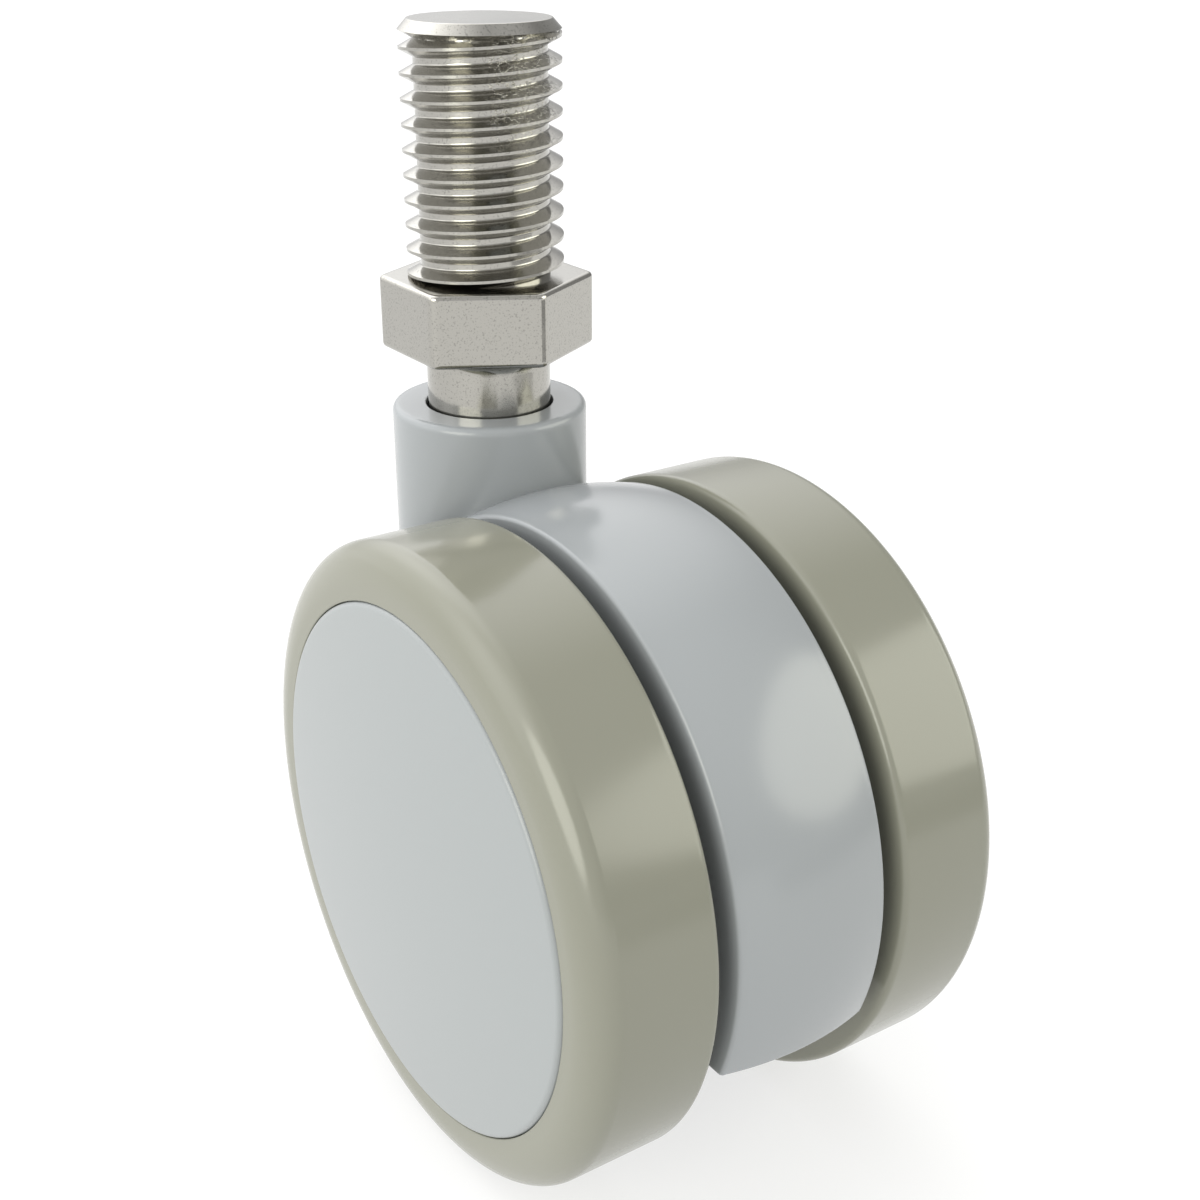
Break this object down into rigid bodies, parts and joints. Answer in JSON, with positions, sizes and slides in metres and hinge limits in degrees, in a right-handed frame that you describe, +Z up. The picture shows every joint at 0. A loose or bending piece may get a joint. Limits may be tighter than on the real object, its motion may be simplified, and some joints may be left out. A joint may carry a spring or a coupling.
{
  "type": "twin wheel castor",
  "caption": "Twin wheel swivel castor with a threaded stem, a hexagon to tighten it, a hood between the wheels, soft treads and domed wheel caps.",
  "frame": {"origin": "on the stem's axis at the hexagon's top face, which tightens against the furniture", "axes": "+Z up along the stem, the swivel axis; +X towards the side that the wheels trail on; the axle runs along Y"},
  "size_m": [0.0414, 0.0308, 0.0668],
  "materials": {
    "plated_steel": "satin nickel plate",
    "axle_steel": "zinc plated",
    "spring_steel": "dark phosphated",
    "hardened_steel": "ground",
    "grey_plastic": "glossy moulded",
    "cap_plastic": "satin gloss moulded",
    "core_plastic": "matt moulded",
    "bearing_plastic": "smooth acetal",
    "washer_plastic": "smooth nylon",
    "soft_tread": "satin soft plastic"
  },
  "bodies": {
    "stem": {"threaded_stem": "plated_steel", "stem_snap_ring": "spring_steel"},
    "housing": {"housing": "grey_plastic", "pivot_bush": "bearing_plastic", "thrust_disc": "hardened_steel", "axle": "axle_steel", "left_inner_washer": "washer_plastic", "left_outer_washer": "axle_steel", "left_axle_clip": "spring_steel", "right_inner_washer": "washer_plastic", "right_outer_washer": "axle_steel", "right_axle_clip": "spring_steel"},
    "left_wheel": {"left_wheel_core": "core_plastic", "left_tyre": "soft_tread", "left_wheel_cap": "cap_plastic", "left_wheel_bush": "bearing_plastic"},
    "right_wheel": {"right_wheel_core": "core_plastic", "right_tyre": "soft_tread", "right_wheel_cap": "cap_plastic", "right_wheel_bush": "bearing_plastic"}
  },
  "joints": [
    {"name": "swivel", "type": "hinge", "parent": "stem", "child": "housing", "pos_m": [0, 0, 0], "axis": [0, 0, 1], "continuous": true},
    {"name": "left_wheel_spin", "type": "hinge", "parent": "housing", "child": "left_wheel", "pos_m": [0.01425, 0, -0.03145], "axis": [0, 1, 0], "continuous": true},
    {"name": "right_wheel_spin", "type": "hinge", "parent": "housing", "child": "right_wheel", "pos_m": [0.01425, 0, -0.03145], "axis": [0, 1, 0], "continuous": true}
  ]
}
